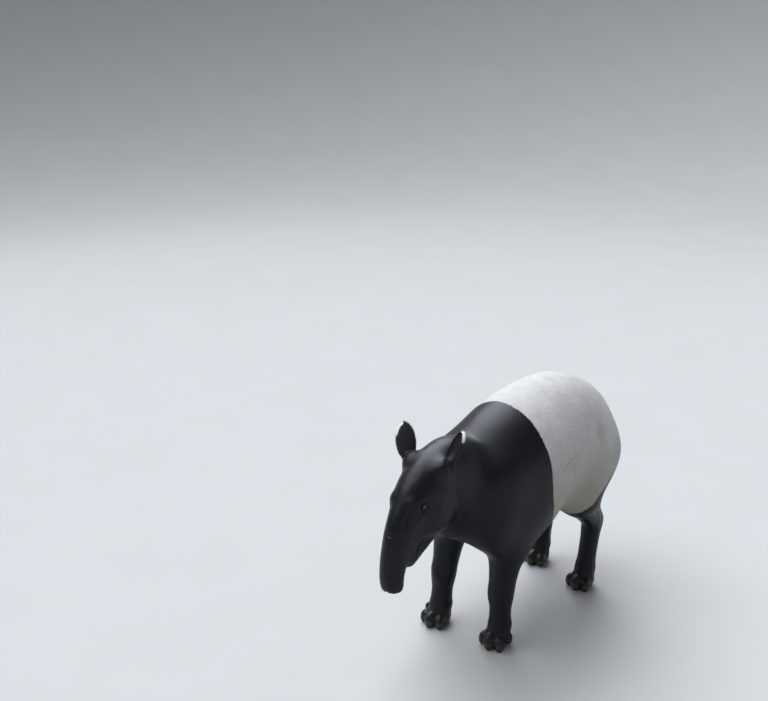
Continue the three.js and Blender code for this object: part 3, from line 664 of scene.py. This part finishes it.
def coat_colours(place):
    """The coat's colour, where it is pale, and its streaks of hair."""
    across, back, height = [component(place, (0, 0, 0), axis) for axis in ((1, 0, 0), (0, 1, 0), (0, 0, 1))]
    pale = saddle_mask(place, back, height, across)
    lie_back = grain(place, 1, 2, 0.6, (420, 60, 300))
    lie_down = grain(place, 1, 2, 0.6, (420, 420, 60))
    streak = lie_back + (lie_down - lie_back) * ramped(height, 0.50, 0.36)
    patches = grain(place, 4.5, 3)
    cloud = grain(place, 17, 3, 0.6)
    dark_coat = mixed(ramped(patches, 0.35, 0.7), BLACK, BLACK_WARM)
    dark_coat = mixed(ramped(streak, 0.30, 0.75), dark_coat, BLACK_TIP)
    dark_coat = mixed(ramped(height + cloud * 0.10, 0.16, 0.04) * 0.55, dark_coat, DUST)
    # Painted light and shade: the pale coat is lighter towards the top of the trunk and darker low down. The
    # low colour is partly brown dirt and partly painted shade.
    pale_coat = mixed(ramped(height + (patches - 0.5) * 0.25, 0.46, 0.92), PALE_LOW_DIRT_AND_SHADE, PALE_LIT_TOP)
    pale_coat = mixed(ramped(cloud, 0.3, 0.75) * 0.35, pale_coat, PALE_CLOUD)
    pale_coat = mixed(ramped(streak, 0.62, 0.30) * 0.30, pale_coat, PALE_ROOT)
    colour = mixed(pale, dark_coat, marked(place, cloud, pale_coat))
    # Painted sheen: round the middle of each ear the coat is mixed towards a lighter bluish grey, standing in
    # for the sheen on the ear's back.
    for side in (1, -1):
        ear_middle = ear_frame(side) @ Vector((0, 0, 85 * MM))
        colour = mixed(ramped(distance(place, ear_middle), 0.075, 0.050) * 0.8, colour, EAR_PAINTED_SHEEN)
    return mixed(white_tips(place), colour, EAR_WHITE), pale, streak


SHEEN = (0.84, 0.88, 1.0, 1)
coat, surface, place = new_finish("coat")
colour, pale, streak = coat_colours(place)
n_up = component(place, nose_frame.translation, np.array(nose_frame.to_3x3())[:, 1])
nose_skin = ramped(n_up, 0.012, -0.002) * ramped(distance(place, nose_frame.translation), 0.075, 0.060)
colour = mixed(nose_skin * 0.7, colour, NOSE)
pores = grain(place, 300, 2, 0.6)
fine = grain(place, 38, 3, 0.55)
relief = streak * 0.45 + pores * 0.25 + fine * 0.8
bump = relief.node("ShaderNodeBump", {}, {"Strength": 0.5, "Distance": 0.0014, "Height": relief})
linked(surface, Base_Color=colour, Normal=bump, Specular_IOR_Level=0.23, Specular_Tint=SHEEN,
       Roughness=0.40 + pale * 0.33 + (streak - 0.5) * 0.14 + nose_skin * -0.10)
hide.data.materials.clear()
hide.data.materials.append(coat)
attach(hide, "root")
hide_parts(*FLESH)

# Hair: tapered tufts over the skin, lying back along the trunk, up the face and down the legs, and standing
# off it only at the ears' edges, the chin, the belly, the tail and above the hooves.
hair, surface, place = new_finish("hair", rooted=True)
colour, pale, streak = coat_colours(place)
linked(surface, Base_Color=colour, Roughness=0.46 + pale * 0.27, Specular_IOR_Level=0.21, Specular_Tint=SHEEN)
BELLY, HAIR_LEGS_TOP = 0.47, 0.46
PATCH = 0.003


def roots_on(piece, density, seed):
    """Places on the piece, at random and as many per square metre as density says, with their normals."""
    draw = np.random.default_rng(seed)
    mesh = piece.data
    mesh.calc_loop_triangles()
    corners = np.empty(len(mesh.loop_triangles) * 3, dtype=int)
    mesh.loop_triangles.foreach_get("vertices", corners)
    corners = corners.reshape(-1, 3)
    at, way = places_of(mesh)[corners], normals_of(mesh)[corners]
    area = np.linalg.norm(np.cross(at[:, 1] - at[:, 0], at[:, 2] - at[:, 0]), axis=1) / 2
    grown = draw.poisson(area * density(at.mean(axis=1), way.mean(axis=1)))
    chosen = np.repeat(np.arange(len(corners)), grown)
    share = draw.dirichlet((1, 1, 1), len(chosen))[:, :, None]
    spots, ways = (at[chosen] * share).sum(axis=1), (way[chosen] * share).sum(axis=1)
    return spots, ways / np.linalg.norm(ways, axis=1, keepdims=True)


def lie_of(spots):
    """The way the hair lies at each place: up the face, back along the trunk, down the legs, up the ears."""
    part = regions(spots)
    lie = np.tile((0.0, 1.0, 0.0), (len(spots), 1))
    lie[:, 2] -= 0.55 * eased(0.95 - spots[:, 2], 0, 0.25)
    lie[:, 0] += 0.25 * np.sign(spots[:, 0]) * eased(0.60 - spots[:, 2], 0, 0.2)
    down = eased(0.62 - spots[:, 2], 0, 0.16)[:, None]
    lie = lie * (1 - down) + np.array((0, 0.25, -1.0)) * down
    belly = eased(np.abs(spots[:, 0]), 0.20, 0.10) * (spots[:, 2] < 0.56) * (spots[:, 2] > 0.38)
    lie = lie * (1 - belly[:, None]) + np.array((0, 1.0, 0.0)) * belly[:, None]
    face = part["head"][:, None]
    lie = lie * (1 - face) + (np.array(along_head(-1, 0, 0)) + np.array((0, 0, -0.35))) * face
    for side in (1, -1):
        upright = ear_frame(side)
        q = seen_from(upright, spots)
        ear = on_ear(q)[:, None]
        outward = np.array(upright.to_3x3())[:, 0] * (q[:, 0] / 60)[:, None]
        lie = lie * (1 - ear) + (np.array(upright.to_3x3())[:, 2] + outward) * ear
    tail = part["tail"][:, None]
    return lie * (1 - tail) + np.array((0, 0.1, -1.0)) * tail


def tufted(name, spots, ways, length, width, lift, unwrap, seed, lie=None, bow=0.5):
    """A piece of tapered tufts, from their roots, their lengths and widths in mm and their lifts in degrees.
    They bend once where they have a bow, and the shortest are straight."""
    draw = np.random.default_rng(seed)
    count = len(spots)
    lie = lie_of(spots) if lie is None else lie
    lie = lie + draw.normal(0, 0.15, (count, 3)) * np.linalg.norm(lie, axis=1, keepdims=True)
    lie -= ways * (lie * ways).sum(axis=1, keepdims=True)
    lie /= np.linalg.norm(lie, axis=1, keepdims=True) + 1e-9
    side = np.cross(lie, ways)
    length = (length * MM * draw.uniform(0.7, 1.2, count))[:, None]
    width = (width * MM * draw.uniform(0.7, 1.2, count))[:, None]
    rise = np.radians(lift * draw.uniform(0.5, 1.4, count))[:, None]
    start = lie * np.cos(rise) + ways * np.sin(rise)
    end = lie * np.cos(rise * (1 - bow)) + ways * np.sin(rise * (1 - bow))
    root = spots - ways * 0.4 * MM
    middle = root + start * length * 0.55
    rings = [(root, 1.0), (middle, 0.72)] if bow else [(root, 1.0)]
    points = [at + side * (k * width * thick) + ways * (up * width * thick)
              for at, thick in rings for k, up in ((-0.5, 0), (0.5, 0), (0, 0.4))]
    points.append(middle + end * length * 0.45)
    patch = [(-0.5, -0.5), (0.5, -0.5), (0, -0.5), (-0.3, 0.1), (0.3, 0.1), (0, 0.1)]
    patch = np.array(patch[:len(points) - 1] + [(0, 0.5)]) * PATCH
    faces = [(0, 2, 3), (2, 1, 3), (1, 0, 3)]
    if bow:
        faces = [(0, 2, 5, 3), (2, 1, 4, 5), (1, 0, 3, 4), (3, 5, 6), (5, 4, 6), (4, 3, 6)]
    corners = np.concatenate(faces)
    sizes = np.cumsum([0] + [len(face) for face in faces])
    each = np.arange(count)[:, None]
    mesh = bpy.data.meshes.new(name)
    mesh.vertices.add(count * len(points))
    mesh.vertices.foreach_set("co", np.stack(points, axis=1).ravel())
    mesh.loops.add(count * len(corners))
    mesh.loops.foreach_set("vertex_index", (corners[None] + len(points) * each).ravel())
    mesh.polygons.add(count * len(faces))
    mesh.polygons.foreach_set("loop_start", (sizes[None, :-1] + len(corners) * each).ravel())
    mesh.polygons.foreach_set("use_smooth", np.ones(count * len(faces), dtype=bool))
    mesh.update(calc_edges=True)
    unwrapped = unwrap(spots)[:, None] + patch[corners][None]
    mesh.uv_layers.new(name="OFBake").data.foreach_set("uv", unwrapped.ravel())
    rooted = mesh.attributes.new("root", "FLOAT_VECTOR", "POINT")
    rooted.data.foreach_set("vector", np.repeat(spots, len(points), axis=0).ravel())
    piece = bpy.data.objects.new(name, mesh)
    bpy.context.scene.collection.objects.link(piece)
    mesh.materials.append(hair)
    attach(piece, "root")
    return piece


def wrapped_round(basis, low, high):
    """Unwraps a region by its angle round the frame's Y axis and its place along it, each from 0 to 1."""
    def unwrap(spots):
        q = seen_from(basis, spots) * MM
        angle = np.arctan2(q[:, 0], q[:, 2]) / (2 * math.pi) + 0.5
        along = np.clip((q[:, 1] - low) / (high - low), 0, 1)
        return np.stack((0.01 + 0.98 * angle, 0.01 + 0.98 * along), 1)
    return unwrap


def in_quarters(spots):
    """Unwraps the four legs side by side, each by its angle and height."""
    hind = (spots[:, 1] > 0.16).astype(int)
    left = (spots[:, 0] > 0).astype(int)
    centre = np.array(((-0.148, -0.2), (0.148, -0.15), (-0.145, 0.52), (0.145, 0.48)))[hind * 2 + left]
    angle = np.arctan2(spots[:, 0] - centre[:, 0], spots[:, 1] - centre[:, 1]) / (2 * math.pi) + 0.5
    height = np.clip(spots[:, 2] / 0.62, 0, 1)
    return np.stack(((hind * 2 + left + 0.02 + 0.96 * angle) / 4, 0.01 + 0.98 * height), 1)


def nearer_ear(spots):
    """Whether each place is nearer the right ear, and where it is in that ear's own frame, in mm."""
    ears = [seen_from(ear_frame(side), spots) for side in (1, -1)]
    right = np.linalg.norm(ears[1], axis=1) < np.linalg.norm(ears[0], axis=1)
    return right, np.where(right[:, None], ears[1], ears[0])


def in_halves(spots):
    """Unwraps the two ears side by side, each by its angle and height."""
    right, q = nearer_ear(spots)
    angle = np.arctan2(q[:, 0], q[:, 1]) / (2 * math.pi) + 0.5
    height = np.clip((q[:, 2] + 30) / 200, 0, 1)
    return np.stack(((right + 0.02 + 0.96 * angle) / 2, 0.01 + 0.98 * height), 1)


def clear_of_features(spots):
    """0 at the eyes, nostrils and mouth, where no hair grows."""
    q = seen_from(head_frame, spots)
    run, away = beside_line(MOUTH_LINE, -q[:, 1], q[:, 2])
    n = seen_from(nose_frame, spots)
    return eased(from_eyes(spots), 22, 27) * eased(away, 3, 6) * eased(n[:, 1], 2, 9)


ROUND_TRUNK = wrapped_round(Matrix.Translation((0, 0, 0.72)), -0.6, 0.82)
ROUND_HEAD = wrapped_round(head_frame, -0.45, 0.12)


def over_trunk(front):
    def density(spots, ways):
        part = regions(spots)
        wanted = 44000 * (1 - part["head"]) * (1 - part["ear"]) * (1 - part["tail"])
        wanted *= spots[:, 2] > HAIR_LEGS_TOP
        wanted *= 1 + 0.8 * (np.abs(spots[:, 1] - SADDLE_FRONT) < 0.02)
        return wanted * ((spots[:, 1] < SADDLE_FRONT) == front)
    return density


for name, front, slot in (("hair_fore", True, "black_coat"), ("hair_saddle", False, "pale_coat")):
    spots, ways = roots_on(hide, over_trunk(front), 11 + front)
    under = eased(BELLY + 0.04 - spots[:, 2], 0, 0.06)
    tufted(name, spots, ways, 8 + 6 * under, 0.62, 4.5 + 6 * under, ROUND_TRUNK,
           21 + front, bow=0)

spots, ways = roots_on(hide, lambda spots, ways: 70000 * (spots[:, 2] <= HAIR_LEGS_TOP) * (spots[:, 2] > 0.05)
                       * (spots[:, 1] > -0.40), 31)
behind = eased(ways[:, 1], 0.2, 0.8) * eased(spots[:, 2], 0.12, 0.2)
low = 1 - eased(spots[:, 2], 0.06, 0.13)
tufted("hair_legs", spots, ways, 7 + 4 * behind - 1.5 * low, 0.6 - 0.1 * low, 5 + 6 * behind + 3 * low,
       in_quarters, 32, bow=0)


def over_head(spots, ways):
    part = regions(spots)
    return 150000 * part["head"] * (1 - part["ear"]) * clear_of_features(spots) * (1 - 0.25 * part["snout"])


spots, ways = roots_on(hide, over_head, 41)
part = regions(spots)
chin = eased(-(seen_from(head_frame, spots)[:, 2] + 110), 0, 30)
tufted("hair_head", spots, ways, 4.6 - 1.6 * part["snout"] + 3 * chin, 0.42 - 0.06 * part["snout"],
       5.5 + 2 * part["snout"] + 8 * chin, ROUND_HEAD, 42, bow=0)


def over_ears(spots, ways):
    return 150000 * (regions(spots)["ear"] > 0.3)


spots, ways = roots_on(hide, over_ears, 51)
right, q = nearer_ear(spots)
rim = eased(np.hypot(q[:, 0] / EAR_HALF_WIDTH, (q[:, 2] - EAR_MIDDLE) / EAR_HALF_HEIGHT), 0.84, 0.96)
rim = rim * (q[:, 2] > 60)
cup = (q[:, 1] < 3) * eased(q[:, 2], 20, 40) * (1 - rim)
tufted("hair_ears", spots, ways, 5.5 + 4.5 * rim + 3 * cup, 0.55 + 0.1 * rim, 9 + 22 * rim + 16 * cup,
       in_halves, 52, bow=0.7)

spots, ways = roots_on(hide, lambda spots, ways: 60000 * (regions(spots)["tail"] > 0.2), 61)
tip = eased(0.66 - spots[:, 2], 0, 0.06)
tail_axis = Matrix.Translation((0, 0.79, 0.66)) @ Matrix.Rotation(math.radians(90), 4, "X")
tufted("hair_tail", spots, ways, 13 + 14 * tip, 0.9, 9 + 6 * tip, wrapped_round(tail_axis, -0.09, 0.09), 62)

# Whiskers: single stiff bristles on the sides of the snout, the lips and the chin, and lashes on the upper
# lids. They are the longest and thinnest tufts and stand well off the skin.
spots, ways = roots_on(hide, lambda spots, ways: 3200 * (seen_from(head_frame, spots)[:, 1] < -235)
                       * (seen_from(head_frame, spots)[:, 2] < 0) * clear_of_features(spots), 71)
face_down = np.tile(np.array(along_head(0.7, 0, -0.7)), (len(spots), 1))
tufted("whiskers", spots, ways, 13, 0.32, 30, ROUND_HEAD, 72, lie=face_down, bow=0.4)


def on_upper_lids(spots, ways):
    """Lashes to the square metre: many on the rim of the upper lid, none elsewhere."""
    wanted = np.zeros(len(spots))
    for side in (1, -1):
        q = seen_from(eye_frame(side), spots)
        outside = from_slit(q[:, 0], q[:, 2])
        wanted += 900000 * (np.abs(outside - 1.6) < 0.8) * (q[:, 2] > 0) * (-q[:, 1] > 8)
    return wanted


spots, ways = roots_on(hide, on_upper_lids, 81)
lashes = np.where(spots[:, :1] > 0, *(np.array([along_head(0.2, side, -0.5)]) for side in (1, -1)))
tufted("lashes", spots, ways, 8, 0.34, 35, ROUND_HEAD, 82, lie=lashes, bow=0.2)

# Eyes: a small dark brown ball behind each pair of lids, with a clear bulge over the iris.
eye_finish, surface, place = new_finish("eye")
looks = []
for side in (1, -1):
    upright = eye_frame(side)
    out = -np.array(upright.to_3x3())[:, 1]
    looks.append(ramped(component(place, upright.translation, out), 0.0112, 0.0122)
                 * ramped(distance(place, upright.translation), 0.03, 0.02))
iris = looks[0] + looks[1]
eye_colour = mixed(iris, (0.030, 0.020, 0.016, 1), (0.010, 0.0055, 0.004, 1))
linked(surface, Base_Color=eye_colour, Roughness=0.07, Coat_Weight=1.0, Coat_Roughness=0.03, IOR=1.4)
for side, name in ((1, "eye_left"), (-1, "eye_right")):
    ball = bmesh.new()
    bmesh.ops.create_uvsphere(ball, u_segments=48, v_segments=32, radius=EYE_RADIUS * MM)
    for vertex in ball.verts:
        bulge = max(0.0, -vertex.co.y / (EYE_RADIUS * MM) - 0.72) / 0.28
        vertex.co.y -= 0.9 * MM * bulge
    bmesh.ops.transform(ball, matrix=eye_frame(side), verts=ball.verts)
    for face in ball.faces:
        face.smooth = True
    eye = added(name.replace("eye", "eyeball"), ball, eye_finish)
    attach(eye, "root")
    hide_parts(name)

# Hooves: a dark horn nail over the end of each toe, four on a fore foot and three on a hind foot, worn flat
# where it stands on the floor.
horn, surface, place = new_finish("horn")
height = component(place, (0, 0, 0), (0, 0, 1))
rings = grain(place, 1, 2, 0.6, (60, 60, 900))
worn = ramped(height + grain(place, 90, 2) * 0.006, 0.010, 0.002)
horn_colour = mixed(ramped(rings, 0.35, 0.7), (0.020, 0.017, 0.015, 1), (0.045, 0.038, 0.031, 1))
horn_colour = mixed(worn * 0.6, horn_colour, (0.13, 0.11, 0.09, 1))
bump = rings.node("ShaderNodeBump", {}, {"Strength": 0.5, "Distance": 0.0006, "Height": rings})
linked(surface, Base_Color=horn_colour, Roughness=0.38 + worn * 0.3, Normal=bump)
for foot in FEET:
    for number, (size, toe) in enumerate(toes_of(foot), 1):
        toe = toe @ Matrix.Translation((0, -10 * size * MM, -3 * size * MM))
        nail = bmesh.new()
        bmesh.ops.create_uvsphere(nail, u_segments=48, v_segments=32, radius=1,
                                  matrix=toe @ scaled(20 * size, 29 * size, 30 * size))
        back = toe.to_3x3() @ Vector((0, 0.92, 0.38))
        for point, way in ((toe.translation, back), (Vector((0, 0, 0)), Vector((0, 0, -1)))):
            bmesh.ops.bisect_plane(nail, geom=nail.verts[:] + nail.edges[:] + nail.faces[:], dist=1e-6,
                                   plane_co=point, plane_no=way, clear_outer=True)
            bmesh.ops.holes_fill(nail, edges=[edge for edge in nail.edges if edge.is_boundary], sides=0)
        nail = added(f"nail_{foot}_{number}", nail, horn)
        modified(nail, "REMESH", mode="VOXEL", voxel_size=1.4 * MM, use_smooth_shade=True)
        modified(nail, "SMOOTH", factor=0.5, iterations=5)
        applied(nail)
        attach(nail, "root")
        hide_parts(f"hoof_{foot}_{number}")

# Studio: a pale floor that curves up far behind, and soft light from above and behind, as from a bright sky.
FLOOR_RADIUS, WALL_RADIUS, WALL_STEPS = 9, 5, 12
LAMPS = (("overhead", (-0.35, -0.15, 0.90), 60, 3.7), ("from_behind", (-0.52, 0.50, 0.62), 42, 2.7))
floor_finish, surface, place = new_finish("floor")
floor_colour = mixed(grain(place, 2, 4), (0.385, 0.385, 0.380, 1), (0.415, 0.415, 0.410, 1))
linked(surface, Base_Color=floor_colour, Roughness=0.85)
floor_shape = bmesh.new()
bmesh.ops.create_circle(floor_shape, cap_ends=True, radius=FLOOR_RADIUS, segments=96)
border = list(floor_shape.edges)
for step in range(1, WALL_STEPS + 1):
    turn = math.radians(90 / WALL_STEPS * step)
    grown = bmesh.ops.extrude_edge_only(floor_shape, edges=border)["geom"]
    border = [item for item in grown if isinstance(item, bmesh.types.BMEdge)]
    for vertex in (item for item in grown if isinstance(item, bmesh.types.BMVert)):
        flat = Vector((vertex.co.x, vertex.co.y, 0)).normalized()
        rise = Vector((0, 0, WALL_RADIUS * (1 - math.cos(turn))))
        vertex.co = flat * (FLOOR_RADIUS + WALL_RADIUS * math.sin(turn)) + rise
for face in floor_shape.faces:
    face.smooth = True
floor = added("floor", floor_shape, floor_finish)
world = bpy.data.worlds.new("studio")
world.use_nodes = True
world.node_tree.nodes["Background"].inputs["Color"].default_value = (0.80, 0.86, 0.97, 1)
world.node_tree.nodes["Background"].inputs["Strength"].default_value = 0.25
bpy.context.scene.world = world
for name, way, breadth, strength in LAMPS:
    sky = bpy.data.objects.new(name, bpy.data.lights.new(name, "SUN"))
    sky.data.angle = math.radians(breadth)
    sky.data.energy = strength
    sky.data.color = (0.90, 0.94, 1.0)
    sky.rotation_euler = Vector(way).to_track_quat("Z", "Y").to_euler()
    bpy.context.scene.collection.objects.link(sky)
bpy.context.scene.view_settings.view_transform = "Standard"
